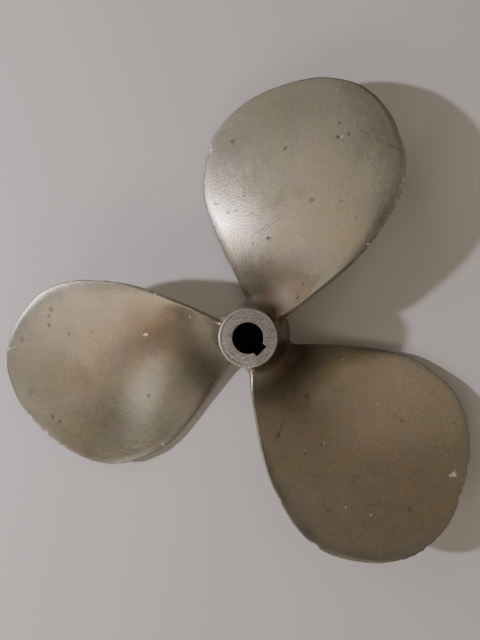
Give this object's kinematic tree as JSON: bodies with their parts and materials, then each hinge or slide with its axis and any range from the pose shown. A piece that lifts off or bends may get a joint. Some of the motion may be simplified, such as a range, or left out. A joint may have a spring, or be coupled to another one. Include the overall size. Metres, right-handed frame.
{
  "type": "ship propeller",
  "caption": "One-piece cast bronze ship propeller with wide round left-hand blades on a short boss with a tapered, keyed shaft bore.",
  "frame": {"origin": "on the shaft axis at the forward face of the boss, which stands on the floor", "axes": "+Z along the shaft axis towards the aft end, small end of the bore up; one blade lies 62 degrees from +X towards +Y"},
  "size_m": [0.3784, 0.3814, 0.073],
  "materials": {
    "tarnished_bronze": "satin, tarnished grey-green to brown"
  },
  "bodies": {
    "root": {"propeller_casting": "tarnished_bronze"}
  },
  "joints": []
}
